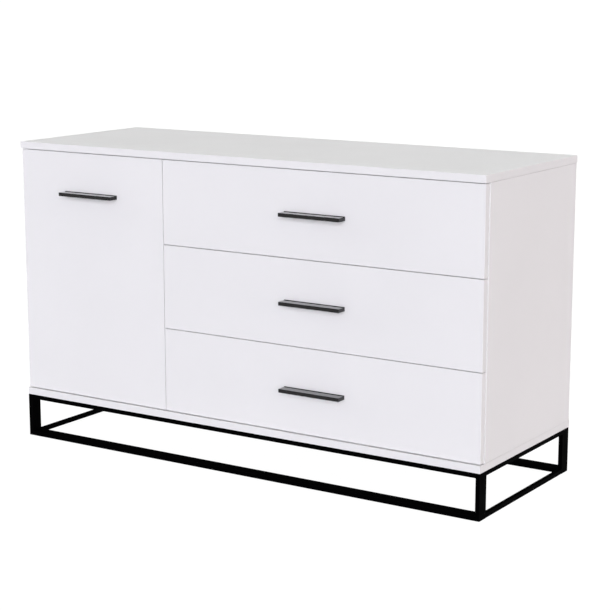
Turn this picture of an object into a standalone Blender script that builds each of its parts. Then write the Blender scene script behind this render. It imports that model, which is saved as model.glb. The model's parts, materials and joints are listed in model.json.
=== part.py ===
"""White sideboard buffet: one hinged door, three drawers and a flat black steel base.

Metres, +Z up, the fronts face -Y. The origin is on the floor, under the middle of the
whole object's box. Distances called "behind" are measured from the outer face of the
door and the drawer fronts towards the back of the cabinet.
"""
import math

import bmesh
import bpy
from mathutils import Matrix, Vector

# Overall size
WIDTH = 1.200
HEIGHT = 0.700
BASE_HEIGHT = 0.100
TOP_OVERHANG = 0.0038
TOP_REAR = 0.4230
HANDLE_REACH = 0.0245
FRONT_Y = HANDLE_REACH - (TOP_REAR + HANDLE_REACH) / 2

# Boards
BOARD = 0.016
DRAWER_BOARD = 0.012
THIN_BOARD = 0.003
TOUCH = 0.0003
BOARD_EDGE = 0.0007
CARCASS_FRONT = 0.0164
CARCASS_REAR = 0.4195
BACK_INSET = 0.003
DIVIDER_X = -0.1919

# Fronts
FRONT_HALF = 0.5982
FRONT_TOP = HEIGHT - BOARD - 0.0018
FRONT_BOTTOM = BASE_HEIGHT + BOARD + 0.0021
DOOR_GAP = 0.0016
DRAWER_GAP = 0.0015
DRAWERS = 3
DRAWER_FRONT_H = (FRONT_TOP - FRONT_BOTTOM - (DRAWERS - 1) * DRAWER_GAP) / DRAWERS

# Drawer boxes and their slides
SLIDE_SPACE = 0.0127
BOX_DEPTH = 0.350
BOX_HEIGHT = 0.130
BOX_LIFT = 0.012
BOTTOM_LIFT = 0.010
GROOVE_DEPTH = 0.006
SLIDE_LENGTH = 0.350
SLIDE_SHEET = 0.0012
SLIDE_HALF = 0.0175
SLIDE_DEPTH = 0.0100
SLIDE_RUNNING_GAP = 0.0004
SLIDE_SET_BACK = 0.001
SLIDE_LIFT = 0.058
SLIDE_BEHIND = 0.0185

# Shelf and its pins
SHELF_Z = 0.400
SHELF_FRONT = 0.040
SHELF_REAR = 0.415
SHELF_EASE = 0.0005
PIN_RADIUS = 0.0025
PIN_IN = 0.008
PIN_OUT = 0.008
PIN_BEHIND = (0.080, 0.375)
PIN_ROWS = 5
PIN_PITCH = 0.032

# Handles
HANDLE_LENGTH = 0.150
HANDLE_WALL = 0.0017
HANDLE_TOP = 0.0040
HANDLE_BOTTOM = -0.0040
HANDLE_UPSTAND = 0.0010
HANDLE_EDGE = 0.0003

# Base frame of flat steel bar
BAR_T = 0.010
BAR_W = 0.030
BAR_EDGE = 0.0006
FRAME_HALF = 0.600
FRAME_FRONT = -0.0042
FRAME_REAR = 0.4210

# Concealed door hinges: the door swings about its own front outer corner
HINGE_END = 0.095
CUP_IN = 0.0225
CUP_RADIUS = 0.0175
CUP_DEPTH = 0.0117
CUP_WALL = 0.0011
CUP_FLANGE_SHEET = 0.0012
CUP_FLANGE_HALF = 0.031
CUP_FLANGE_REACH = 0.014
CUP_FLANGE_CLEAR = 0.0007
CUP_PIN_RADIUS = 0.0013
LINK_PIVOT = (0.014, 0.010)
LINK_HALF_WIDTH = 0.004
LINK_SHEET = 0.0016
LINK_NECK = 0.0095
LINK_LEAN = -10
LINK_BEND = 0.0045
LINK_TAIL = 0.0355
LINK_EYE_RADIUS = 0.0030
LINK_BORE_RADIUS = 0.0017
ARM_FRONT = 0.0180
ARM_BACK = 0.070
ARM_HALF_WIDTH = 0.0065
ARM_RISE = 0.0210
ARM_SHEET = 0.0012
PLATE = 0.0018
PLATE_SPAN = (0.0300, 0.0480)
PLATE_HALF = 0.0240

# How far a cutter runs past the faces it opens
PAST = 0.002

WHITE = ("white_board", (0.83, 0.83, 0.85), 0.38, 0.0)
INSIDE = ("drawer_board", (0.80, 0.80, 0.80), 0.50, 0.0)
HARDBOARD = ("white_hardboard", (0.78, 0.78, 0.77), 0.60, 0.0)
STEEL = ("black_steel", (0.012, 0.012, 0.013), 0.45, 0.3)
GRAPHITE = ("graphite_handle", (0.030, 0.030, 0.033), 0.32, 0.6)
ZINC = ("zinc_hardware", (0.62, 0.63, 0.65), 0.30, 1.0)


def clear_scene():
    for obj in list(bpy.data.objects):
        bpy.data.objects.remove(obj, do_unlink=True)


def material(kind):
    name, colour, roughness, metallic = kind
    mat = bpy.data.materials.get(name)
    if mat is None:
        mat = bpy.data.materials.new(name)
        mat.use_nodes = True
        shader = mat.node_tree.nodes["Principled BSDF"]
        shader.inputs["Base Color"].default_value = (*colour, 1.0)
        shader.inputs["Roughness"].default_value = roughness
        shader.inputs["Metallic"].default_value = metallic
        mat.diffuse_color = (*colour, 1.0)
    return mat


def behind(distance):
    """The Y of a point this far behind the fronts' outer face."""
    return FRONT_Y + distance


def pivot(name, place):
    empty = bpy.data.objects.new(name, None)
    empty.location = place
    empty.empty_display_size = 0.03
    bpy.context.scene.collection.objects.link(empty)
    return empty


def add_object(name, bm, kind, place=(0, 0, 0), parent=None):
    """Link a mesh whose own origin is at place, in world metres."""
    mesh = bpy.data.meshes.new(name)
    bmesh.ops.recalc_face_normals(bm, faces=bm.faces)
    bm.to_mesh(mesh)
    bm.free()
    obj = bpy.data.objects.new(name, mesh)
    bpy.context.scene.collection.objects.link(obj)
    obj.location = Vector(place)
    if parent is not None:
        obj.parent = parent
        obj.location = Vector(place) - parent.location
    if kind is not None:
        mesh.materials.append(material(kind))
    return obj


def bevel(obj, width, segments=1):
    mod = obj.modifiers.new("edges", "BEVEL")
    mod.width = width
    mod.segments = segments
    mod.limit_method = "ANGLE"
    mod.angle_limit = math.radians(40)
    return obj


def box(name, low, high, kind, parent=None, edge=0.0):
    low = Vector(low)
    high = Vector(high)
    bm = bmesh.new()
    bmesh.ops.create_cube(bm, size=1.0)
    bmesh.ops.scale(bm, vec=high - low, verts=bm.verts)
    obj = add_object(name, bm, kind, (low + high) / 2, parent)
    if edge > 0:
        bevel(obj, edge)
    return obj


def prism(name, outline, axis, low, high, kind, place=(0, 0, 0), parent=None):
    """Extrude a closed outline along an axis from low to high, in the object's own frame.

    The outline's two numbers are the other two axes in X, Y, Z order.
    """
    bm = bmesh.new()
    ring = []
    for first, second in outline:
        point = [first, second]
        point.insert("XYZ".index(axis), low)
        ring.append(bm.verts.new(point))
    face = bm.faces.new(ring)
    step = [0.0, 0.0, 0.0]
    step["XYZ".index(axis)] = high - low
    out = bmesh.ops.extrude_face_region(bm, geom=[face])
    moved = [item for item in out["geom"] if isinstance(item, bmesh.types.BMVert)]
    bmesh.ops.translate(bm, vec=step, verts=moved)
    return add_object(name, bm, kind, place, parent)


def rod(name, radius, start, end, kind, sides=24, place=(0, 0, 0), parent=None):
    """A cylinder between two points of the object's own frame."""
    start = Vector(start)
    end = Vector(end)
    bm = bmesh.new()
    bmesh.ops.create_cone(
        bm, cap_ends=True, segments=sides, radius1=radius, radius2=radius, depth=(end - start).length
    )
    turn = (end - start).to_track_quat("Z", "Y").to_matrix().to_4x4()
    bmesh.ops.transform(bm, matrix=Matrix.Translation((start + end) / 2) @ turn, verts=bm.verts)
    return add_object(name, bm, kind, place, parent)


def merge(name, pieces):
    """Join cutters that don't meet into one cutter object."""
    bm = bmesh.new()
    for piece in pieces:
        mesh = piece.data
        mesh.transform(Matrix.Translation(piece.location))
        bm.from_mesh(mesh)
        bpy.data.objects.remove(piece, do_unlink=True)
    return add_object(name, bm, None)


def shape_with(obj, tool, operation):
    """Cut or join a tool into an object; the tool itself is left out of the part."""
    tool.hide_render = True
    tool.display_type = "WIRE"
    mod = obj.modifiers.new(tool.name, "BOOLEAN")
    mod.operation = operation
    mod.object = tool
    mod.solver = "EXACT"
    return obj


def smooth(obj):
    obj.data.shade_smooth()
    obj.data.set_sharp_from_angle(angle=math.radians(35))
    return obj


def arc(centre, radius, start, end, steps):
    """Points of an arc, angles in degrees."""
    points = []
    for i in range(steps + 1):
        angle = math.radians(start + (end - start) * i / steps)
        points.append((centre[0] + radius * math.cos(angle), centre[1] + radius * math.sin(angle)))
    return points


def pin_rows():
    """Heights of the shelf-pin holes; the shelf rests on the middle row."""
    middle = SHELF_Z - BOARD / 2 - TOUCH - PIN_RADIUS
    return [middle + PIN_PITCH * (i - PIN_ROWS // 2) for i in range(PIN_ROWS)]


def drill_pin_holes(board, face_x, into):
    """Blind holes for shelf pins in the face at face_x; into is the sign of the drill's way."""
    holes = []
    for distance in PIN_BEHIND:
        for z in pin_rows():
            start = (face_x - into * PAST, behind(distance), z)
            end = (face_x + into * (PIN_IN + 2 * TOUCH), behind(distance), z)
            holes.append(rod("hole", PIN_RADIUS + TOUCH, start, end, None, 12))
    shape_with(board, merge(board.name + "_pin_holes", holes), "DIFFERENCE")


def carcass():
    inner_low = BASE_HEIGHT + BOARD + TOUCH
    inner_high = HEIGHT - BOARD - TOUCH
    half = WIDTH / 2
    front = behind(-TOP_OVERHANG)
    rear = behind(TOP_REAR)
    box("top_panel", (-half, front, HEIGHT - BOARD), (half, rear, HEIGHT), WHITE, edge=BOARD_EDGE)
    floor_top = BASE_HEIGHT + BOARD
    box("bottom_panel", (-half, front, BASE_HEIGHT), (half, rear, floor_top), WHITE, edge=BOARD_EDGE)
    y0 = behind(CARCASS_FRONT)
    y1 = behind(CARCASS_REAR)
    left = box(
        "side_panel_left", (-half, y0, inner_low), (-half + BOARD, y1, inner_high), WHITE, edge=BOARD_EDGE
    )
    box("side_panel_right", (half - BOARD, y0, inner_low), (half, y1, inner_high), WHITE, edge=BOARD_EDGE)
    divider_left = DIVIDER_X - BOARD / 2
    divider_right = DIVIDER_X + BOARD / 2
    low_corner = (divider_left, y0, inner_low)
    high_corner = (divider_right, y1, inner_high)
    divider = box("divider_panel", low_corner, high_corner, WHITE, edge=BOARD_EDGE)
    drill_pin_holes(left, -half + BOARD, -1)
    drill_pin_holes(divider, divider_left, 1)
    back_half = half - BACK_INSET
    back_y = y1 + TOUCH
    box(
        "back_panel", (-back_half, back_y, inner_low), (back_half, back_y + THIN_BOARD, inner_high), HARDBOARD
    )


def shelf():
    left_face = -WIDTH / 2 + BOARD
    right_face = DIVIDER_X - BOARD / 2
    box(
        "shelf",
        (left_face + SHELF_EASE, behind(SHELF_FRONT), SHELF_Z - BOARD / 2),
        (right_face - SHELF_EASE, behind(SHELF_REAR), SHELF_Z + BOARD / 2),
        WHITE,
        edge=BOARD_EDGE,
    )
    pin_z = pin_rows()[PIN_ROWS // 2]
    for side, face_x, way in (("left", left_face, 1), ("right", right_face, -1)):
        for place, distance in zip(("front", "rear"), PIN_BEHIND):
            start = (-way * PIN_IN, 0, 0)
            end = (way * PIN_OUT, 0, 0)
            spot = (face_x, behind(distance), pin_z)
            pin = rod(f"shelf_pin_{side}_{place}", PIN_RADIUS, start, end, ZINC, 12, spot)
            smooth(pin)


def frame_loop(name, low_behind):
    """A flat bar bent into an upright rectangle that runs the whole width."""
    high = BASE_HEIGHT - TOUCH
    y0 = behind(low_behind)
    y1 = behind(low_behind + BAR_W)
    loop = box(name, (-FRAME_HALF, y0, 0), (FRAME_HALF, y1, high), STEEL)
    inner = FRAME_HALF - BAR_T
    window = box(name + "_window", (-inner, y0 - PAST, BAR_T), (inner, y1 + PAST, high - BAR_T), None)
    shape_with(loop, window, "DIFFERENCE")
    bevel(loop, BAR_EDGE)


def base_frame():
    rear_loop = FRAME_REAR - BAR_W
    frame_loop("frame_loop_front", FRAME_FRONT)
    frame_loop("frame_loop_rear", rear_loop)
    y0 = behind(FRAME_FRONT + BAR_W + TOUCH)
    y1 = behind(rear_loop - TOUCH)
    high = BASE_HEIGHT - TOUCH
    for side, sign in (("left", -1), ("right", 1)):
        x0, x1 = sorted((sign * FRAME_HALF, sign * (FRAME_HALF - BAR_T)))
        box(f"frame_bar_{side}_lower", (x0, y0, 0), (x1, y1, BAR_T), STEEL, edge=BAR_EDGE)
        box(f"frame_bar_{side}_upper", (x0, y0, high - BAR_T), (x1, y1, high), STEEL, edge=BAR_EDGE)


def handle(name, x, z, parent):
    """A hooded pull: back flange with an upstand, flat top, front lip, closed ends, open below."""
    skin = HANDLE_WALL
    back = -TOUCH
    reach = -HANDLE_REACH
    outline = [
        (back, HANDLE_BOTTOM),
        (back, HANDLE_TOP + HANDLE_UPSTAND),
        (back - skin, HANDLE_TOP + HANDLE_UPSTAND),
        (back - skin, HANDLE_TOP),
        (reach, HANDLE_TOP),
        (reach, HANDLE_BOTTOM),
    ]
    half = HANDLE_LENGTH / 2
    place = (x, FRONT_Y, z)
    obj = prism(name, outline, "X", -half, half, GRAPHITE, place, parent)
    hollow = box(
        name + "_hollow",
        Vector(place) + Vector((-half + skin, reach + skin, HANDLE_BOTTOM - PAST)),
        Vector(place) + Vector((half - skin, back - skin, HANDLE_TOP - skin)),
        None,
        parent,
    )
    shape_with(obj, hollow, "DIFFERENCE")
    bevel(obj, HANDLE_EDGE)


def slide_members(number, z, drawer):
    """The fixed and the moving channel at each side of one drawer."""
    sheet = SLIDE_SHEET
    outer = [
        (TOUCH, -SLIDE_HALF),
        (SLIDE_DEPTH, -SLIDE_HALF),
        (SLIDE_DEPTH, -SLIDE_HALF + sheet),
        (TOUCH + sheet, -SLIDE_HALF + sheet),
        (TOUCH + sheet, SLIDE_HALF - sheet),
        (SLIDE_DEPTH, SLIDE_HALF - sheet),
        (SLIDE_DEPTH, SLIDE_HALF),
        (TOUCH, SLIDE_HALF),
    ]
    grip = SLIDE_HALF - sheet - SLIDE_RUNNING_GAP
    far = SLIDE_SPACE - TOUCH
    near = SLIDE_SPACE - SLIDE_DEPTH - TOUCH
    inner = [
        (far, -grip),
        (far, grip),
        (near, grip),
        (near, grip - sheet),
        (far - sheet, grip - sheet),
        (far - sheet, -grip + sheet),
        (near, -grip + sheet),
        (near, -grip),
    ]
    left_wall = DIVIDER_X + BOARD / 2
    right_wall = WIDTH / 2 - BOARD
    for side, wall, way in (("left", left_wall, 1), ("right", right_wall, -1)):
        place = (wall, behind(SLIDE_BEHIND), z)
        fixed = [(way * s, h) for s, h in outer]
        moving = [(way * s, h) for s, h in inner]
        name = f"slide_{number}_{side}"
        prism(name + "_fixed", fixed, "Y", 0, SLIDE_LENGTH, ZINC, place)
        start = -SLIDE_SET_BACK
        prism(name + "_moving", moving, "Y", start, start + SLIDE_LENGTH, ZINC, place, drawer)


def drawer_side(name, x_outer, way, low, parent):
    """A side board with a groove in its inner face; way points from the outer face inwards."""
    groove_low = BOTTOM_LIFT - TOUCH
    groove_high = BOTTOM_LIFT + THIN_BOARD + TOUCH
    inner = DRAWER_BOARD
    floor_of_groove = DRAWER_BOARD - GROOVE_DEPTH
    outline = [
        (0, 0),
        (inner, 0),
        (inner, groove_low),
        (floor_of_groove, groove_low),
        (floor_of_groove, groove_high),
        (inner, groove_high),
        (inner, BOX_HEIGHT),
        (0, BOX_HEIGHT),
    ]
    outline = [(way * s, h) for s, h in outline]
    place = (x_outer, behind(BOARD + TOUCH), low)
    prism(name, outline, "Y", 0, BOX_DEPTH, INSIDE, place, parent)


def drawer(index):
    number = index + 1
    top = FRONT_TOP - index * (DRAWER_FRONT_H + DRAWER_GAP)
    low = top - DRAWER_FRONT_H
    left = DIVIDER_X + DOOR_GAP / 2
    right = FRONT_HALF
    body = pivot(f"drawer_{number}_runner", ((left + right) / 2, FRONT_Y, (top + low) / 2))
    front_name = f"drawer_{number}_front"
    box(front_name, (left, FRONT_Y, low), (right, behind(BOARD), top), WHITE, body, BOARD_EDGE)
    handle(f"drawer_{number}_handle", (left + right) / 2, (top + low) / 2, body)

    box_left = DIVIDER_X + BOARD / 2 + SLIDE_SPACE
    box_right = WIDTH / 2 - BOARD - SLIDE_SPACE
    box_low = low + BOX_LIFT
    drawer_side(f"drawer_{number}_side_left", box_left, 1, box_low, body)
    drawer_side(f"drawer_{number}_side_right", box_right, -1, box_low, body)

    inner_left = box_left + DRAWER_BOARD + TOUCH
    inner_right = box_right - DRAWER_BOARD - TOUCH
    y0 = behind(BOARD + TOUCH)
    y1 = y0 + BOX_DEPTH
    tongue = GROOVE_DEPTH - 2 * TOUCH
    floor_low = box_low + BOTTOM_LIFT
    floor_high = floor_low + THIN_BOARD
    box(
        f"drawer_{number}_bottom",
        (inner_left - tongue, y0, floor_low),
        (inner_right + tongue, y1, floor_high),
        HARDBOARD,
        body,
    )
    box(
        f"drawer_{number}_back",
        (inner_left, y1 - DRAWER_BOARD, floor_high + TOUCH),
        (inner_right, y1, box_low + BOX_HEIGHT),
        INSIDE,
        body,
    )
    slide_members(number, box_low + SLIDE_LIFT, body)


def hinge_cup(name, z, door):
    """A pressed cup let into the door, with a fixing flange and a pin for the link."""
    x = -FRONT_HALF + CUP_IN
    place = (x, FRONT_Y, z)
    face = BOARD + TOUCH
    flange_back = face + CUP_FLANGE_SHEET
    bottom = BOARD - CUP_DEPTH
    rim = face + CUP_FLANGE_SHEET / 2
    cup = rod(name, CUP_RADIUS, (0, bottom, 0), (0, rim, 0), ZINC, 32, place, door)
    edge_x = -WIDTH / 2 + BOARD + CUP_FLANGE_CLEAR
    spot = Vector(place)
    flange = box(
        name + "_flange",
        (edge_x - PAST, behind(face), z - CUP_FLANGE_HALF),
        (x + CUP_FLANGE_REACH, behind(flange_back), z + CUP_FLANGE_HALF),
        None,
        door,
    )
    shape_with(cup, flange, "UNION")
    relief = box(
        name + "_relief",
        (x - CUP_FLANGE_HALF, behind(CARCASS_FRONT - TOUCH), z - CUP_FLANGE_HALF - PAST),
        (edge_x, behind(flange_back + PAST), z + CUP_FLANGE_HALF + PAST),
        None,
        door,
    )
    shape_with(cup, relief, "DIFFERENCE")
    cup_floor = (0, bottom + CUP_WALL, 0)
    cup_mouth = (0, flange_back + PAST, 0)
    inside = CUP_RADIUS - CUP_WALL
    hollow = rod(name + "_hollow", inside, cup_floor, cup_mouth, None, 32, spot, door)
    shape_with(cup, hollow, "DIFFERENCE")
    pin_x = LINK_PIVOT[0] - CUP_IN
    half = math.sqrt((CUP_RADIUS - CUP_WALL / 2) ** 2 - pin_x**2)
    pin_low = (pin_x, LINK_PIVOT[1], -half)
    pin_high = (pin_x, LINK_PIVOT[1], half)
    pin = rod(name + "_pin", CUP_PIN_RADIUS, pin_low, pin_high, None, 12, spot, door)
    shape_with(cup, pin, "UNION")
    smooth(cup)


def link_outline():
    """The goose-necked strip's centre line, from its eye to its tail, in the link's own X and Y."""
    lean = math.radians(LINK_LEAN)
    along = Vector((math.cos(lean), math.sin(lean)))
    across = Vector((-along.y, along.x))
    centre = along * LINK_NECK + across * LINK_BEND
    line = [along * (LINK_EYE_RADIUS + LINK_BORE_RADIUS) / 2]
    line += [Vector(p) for p in arc(centre, LINK_BEND, LINK_LEAN - 90, 0, 6)]
    line.append(Vector((centre.x + LINK_BEND, LINK_TAIL)))
    return line


def strip(line, half):
    """The closed outline of a strip of constant thickness around a centre line."""
    left = []
    right = []
    for i, point in enumerate(line):
        before = line[max(i - 1, 0)]
        after = line[min(i + 1, len(line) - 1)]
        along = (after - before).normalized()
        side = Vector((-along.y, along.x)) * half
        left.append(tuple(point + side))
        right.append(tuple(point - side))
    return left + right[::-1]


def hinge_link(name, z, link_pivot):
    """One curved link: an eye on the cup's pin, and a tail that runs in the arm's channel."""
    place = (link_pivot.location.x, link_pivot.location.y, z)
    local = Vector(place)
    width = LINK_HALF_WIDTH
    tail = strip(link_outline(), LINK_SHEET / 2)
    link = prism(name, tail, "Z", -width, width, ZINC, local, link_pivot)
    eye = rod(name + "_eye", LINK_EYE_RADIUS, (0, 0, -width), (0, 0, width), None, 20, local, link_pivot)
    shape_with(link, eye, "UNION")
    far = width + PAST
    bore = rod(name + "_bore", LINK_BORE_RADIUS, (0, 0, -far), (0, 0, far), None, 16, local, link_pivot)
    shape_with(link, bore, "DIFFERENCE")
    smooth(link)


def hinge_arm(name, z):
    """The mounting plate and the channel-shaped arm on the side panel's inner face."""
    wall = -WIDTH / 2 + BOARD + TOUCH
    mouth = behind(ARM_FRONT)
    back = behind(ARM_BACK)
    arm = box(name, (wall, mouth, z - ARM_HALF_WIDTH), (wall + ARM_RISE, back, z + ARM_HALF_WIDTH), ZINC)
    plate_front, plate_back = PLATE_SPAN
    wings = box(
        name + "_wings",
        (wall, behind(plate_front), z - PLATE_HALF),
        (wall + PLATE, behind(plate_back), z + PLATE_HALF),
        None,
    )
    shape_with(arm, wings, "UNION")
    inside = ARM_HALF_WIDTH - ARM_SHEET
    channel = box(
        name + "_channel",
        (wall + PLATE, mouth - PAST, z - inside),
        (wall + ARM_RISE - ARM_SHEET, back - ARM_SHEET, z + inside),
        None,
    )
    shape_with(arm, channel, "DIFFERENCE")


def door():
    left = -FRONT_HALF
    right = DIVIDER_X - DOOR_GAP / 2
    body = pivot("door_hinge_line", (left, FRONT_Y, (FRONT_TOP + FRONT_BOTTOM) / 2))
    low_corner = (left, FRONT_Y, FRONT_BOTTOM)
    high_corner = (right, behind(BOARD), FRONT_TOP)
    panel = box("door_panel", low_corner, high_corner, WHITE, body, BOARD_EDGE)
    handle_z = FRONT_TOP - DRAWER_FRONT_H / 2
    handle("door_handle", (left + right) / 2, handle_z, body)
    link_pivot = pivot("link_line", (left + LINK_PIVOT[0], behind(LINK_PIVOT[1]), 0))
    pockets = []
    for place, z in (("lower", FRONT_BOTTOM + HINGE_END), ("upper", FRONT_TOP - HINGE_END)):
        x = left + CUP_IN
        floor = behind(BOARD - CUP_DEPTH - TOUCH)
        pockets.append(
            rod("pocket", CUP_RADIUS + TOUCH, (x, floor, z), (x, behind(BOARD + PAST), z), None, 32)
        )
        hinge_cup(f"hinge_cup_{place}", z, body)
        hinge_arm(f"hinge_arm_{place}", z)
        hinge_link(f"hinge_link_{place}", z, link_pivot)
    shape_with(panel, merge("door_panel_pockets", pockets), "DIFFERENCE")


clear_scene()
carcass()
shelf()
base_frame()
door()
for drawer_index in range(DRAWERS):
    drawer(drawer_index)
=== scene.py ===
"""Looks of the white sideboard: boards, steel base, pulls, hinges, drawers and studio.

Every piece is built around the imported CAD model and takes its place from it.
Metres, +Z up, the fronts face -Y.
"""
import json
import math

import bmesh
import bpy
from mathutils import Matrix, Vector


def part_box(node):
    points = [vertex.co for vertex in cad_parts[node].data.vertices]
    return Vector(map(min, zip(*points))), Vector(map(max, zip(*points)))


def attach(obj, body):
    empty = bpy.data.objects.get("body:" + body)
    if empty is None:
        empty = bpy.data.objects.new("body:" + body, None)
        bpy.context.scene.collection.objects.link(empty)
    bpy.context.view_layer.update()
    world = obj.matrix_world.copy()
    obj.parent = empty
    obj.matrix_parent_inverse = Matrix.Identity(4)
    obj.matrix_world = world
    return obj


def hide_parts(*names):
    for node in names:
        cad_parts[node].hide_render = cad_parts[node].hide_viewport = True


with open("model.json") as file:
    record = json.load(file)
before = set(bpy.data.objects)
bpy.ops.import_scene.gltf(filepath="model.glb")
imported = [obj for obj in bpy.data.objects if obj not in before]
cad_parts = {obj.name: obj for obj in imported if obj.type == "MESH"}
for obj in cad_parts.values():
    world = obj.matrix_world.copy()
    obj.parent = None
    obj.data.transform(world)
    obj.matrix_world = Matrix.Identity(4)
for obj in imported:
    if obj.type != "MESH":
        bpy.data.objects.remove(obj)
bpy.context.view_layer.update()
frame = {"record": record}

AXES = "XYZ"
AXIAL = 0.999
BODIES = frame["record"]["behaviour"]["bodies"]
BODY_OF = {node: body for body, nodes in BODIES.items() for node in nodes}

# Camera
CAMERA_PLACE = Vector((2.07985, -3.12334, 1.09176))
CAMERA_AZIMUTH = 33.008
CAMERA_ELEVATION = 11.241
CAMERA_LENS = 100
CAMERA_SENSOR = 36

# Studio. Each lamp: azimuth, elevation and spread in degrees, colour, strength, seen in gloss.
# Azimuth 0 stands in front of the fronts and 90 to their right.
AIR = 0.15
GLOW = 0.975
STUDIO_HALF = 60.0
WHITE = (1.0, 1.0, 1.0)
LAMPS = {
    "key_light": (22, 5, 54, (0.930, 0.924, 1.0), 3.595, False),
    "right_fill": (80, 8, 40, (1.0, 0.861, 0.834), 1.280, True),
    "overhead": (0, 90, 12, (0.958, 0.99, 0.950), 0.765, True),
    "rear_fill": (180, 25, 40, WHITE, 1.8, False),
    "left_fill": (-90, 15, 40, WHITE, 1.8, False),
}

# Boards
ALL_EDGES = ("-Y", "+Y", "-X", "+X", "-Z", "+Z")
BAND_RADIUS = 0.0005
CUT_RADIUS = 0.00015
GLUE_LINE = 0.00012
CENTRED = 0.001
DRAWER_EDGE = 0.0005
SHEET_EDGE = 0.0003
PIN_HOLE_RADIUS = 0.0028
PIN_HOLE_DEPTH = 0.0088
PIN_PITCH = 0.032
CUP_RADIUS = 0.0175
POCKET_RADIUS = 0.0178

# Cutting: how far a tool reaches past a face, and past a piece it goes right through
OVERCUT = 0.001
THROUGH = 0.01
POCKET_FIT = 0.0003

# Shelf pins
PIN_CHAMFER = 0.0006
PIN_GROOVE = 0.0003
PIN_NOSE = 0.0012

# Fixings: heads as radius and rise, places as distances from a board's ends
SCREW_HEAD = (0.0036, 0.0013)
BOLT_HEAD = (0.0060, 0.0024)
CAM_HEAD = (0.0075, 0.0006)
CAP_RADIUS = 0.0085
CAP_FROM_FRONT = 0.044
CAP_FROM_REAR = 0.060
CAP_FROM_END = 0.024
NAILS = 8
NAIL_RADIUS = 0.0022
NAIL_FROM_END = 0.020
NAIL_SUNK = 0.0006

# Steel base
BAR = 0.010
BAR_RADIUS = 0.0009
WELD_RADIUS = 0.0011
WELD_RIPPLE = 0.0011
WELD_INSET = 0.001
BOLT_SHARES = (-0.84, -0.28, 0.28, 0.84)

# Pulls
PULL_SKIN = 0.0017
PULL_UPSTAND = 0.0010
PULL_RADIUS = 0.00034
PULL_SCREW_SPACING = 0.128

# Door hinges
HINGE_SHEET = 0.0011
CUP_SOFT = 0.0022
CUP_EAR_CORNER = 0.0065
CUP_EAR_REACH = 0.014
CUP_EAR_CLEAR = 0.0007
CUP_SCREW = (0.006, 0.0235)
CUP_RELIEF = (0.03, 0.02)
LINK_EDGE = 0.00025
LINK_EYE_RADIUS = 0.0030
LINK_BORE_RADIUS = 0.0017
LINK_PIN_RADIUS = 0.0013
LINK_SHEET = 0.0016
LINK_NECK = 0.0095
LINK_LEAN = -10
LINK_BEND = 0.0045
LINK_TAIL = 0.0355
ARM_HALF_WIDTH = 0.0065
ARM_CORNER = 0.002
ARM_PLATE = (0.012, 0.030)
ARM_PLATE_CORNER = 0.0070
ARM_PLATE_SHEET = 0.0018
ARM_PLATE_SCREW = 0.0160
ARM_SCREW_FROM_END = 0.012
ARM_EDGE = 0.0003
ARM_CHANNEL_EDGE = 0.0009

# Drawer boxes and slides
GROOVE_DEPTH = 0.006
GROOVE_LOW = 0.0097
GROOVE_HIGH = 0.0133
CAM_FROM_FRONT = 0.024
CAM_HEIGHTS = (0.034, 0.098)
BACK_SCREW_HEIGHTS = (0.027, 0.106)
SLIDE_SHEET = 0.0012
SLIDE_BEND = 0.0024
SLIDE_EDGE = 0.00025
SLOT_HALF = (0.0055, 0.0023)
SLOT_CORNER = 0.0022
FIXED_SLOTS = (0.08, 0.36, 0.64, 0.92)
MOVING_SLOTS = (0.06, 0.28, 0.52, 0.90)


# ---------------------------------------------------------------- materials


class Shader:
    """One node material; every pattern is placed in the object's own metres."""

    def __init__(self, name, **sockets):
        self.mat = bpy.data.materials.new(name)
        self.mat.use_nodes = True
        self.tree = self.mat.node_tree
        self.bsdf = self.tree.nodes["Principled BSDF"]
        for socket, value in sockets.items():
            self.bsdf.inputs[socket.replace("_", " ")].default_value = value
        self.coords = self.tree.nodes.new("ShaderNodeTexCoord").outputs["Object"]
        self.height = None

    def add(self, kind, values, **settings):
        node = self.tree.nodes.new("ShaderNode" + kind)
        for key, value in settings.items():
            setattr(node, key, value)
        for key, value in values.items():
            if isinstance(value, bpy.types.NodeSocket):
                self.tree.links.new(value, node.inputs[key])
            else:
                node.inputs[key].default_value = value
        return node

    def stretched(self, x, y, z):
        """Coordinates scaled along each axis, for grain and brushing."""
        node = self.add("VectorMath", {0: self.coords, 1: (x, y, z)}, operation="MULTIPLY")
        return node.outputs["Vector"]

    def noise(self, scale, detail, roughness=0.5, vector=None, distortion=0.0):
        values = {
            "Vector": vector or self.coords,
            "Scale": scale,
            "Detail": detail,
            "Roughness": roughness,
            "Distortion": distortion,
        }
        return self.add("TexNoise", values).outputs["Fac"]

    def cells(self, scale):
        """Distance to the nearest cell centre."""
        return self.add("TexVoronoi", {"Vector": self.coords, "Scale": scale}).outputs["Distance"]

    def ranged(self, value, low, high, to_low=0.0, to_high=1.0):
        values = {"Value": value, "From Min": low, "From Max": high, "To Min": to_low, "To Max": to_high}
        return self.add("MapRange", values).outputs["Result"]

    def mixed(self, factor, first, second):
        """Blends two colours, each of them a socket or three numbers."""
        values = {0: factor}
        for index, value in ((6, first), (7, second)):
            values[index] = value if isinstance(value, bpy.types.NodeSocket) else (*value, 1.0)
        return self.add("Mix", values, data_type="RGBA").outputs[2]

    def colour(self, value):
        self.tree.links.new(value, self.bsdf.inputs["Base Color"])

    def rough(self, value):
        self.tree.links.new(value, self.bsdf.inputs["Roughness"])

    def bump(self, value, depth, strength):
        """Adds a relief of this depth, in metres, on top of the ones before it."""
        node = self.add("Bump", {"Height": value, "Distance": depth, "Strength": strength})
        if self.height is not None:
            self.tree.links.new(self.height, node.inputs["Normal"])
        self.height = node.outputs["Normal"]
        self.tree.links.new(self.height, self.bsdf.inputs["Normal"])


def times(colour, share):
    return tuple(c * share for c in colour)


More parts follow.
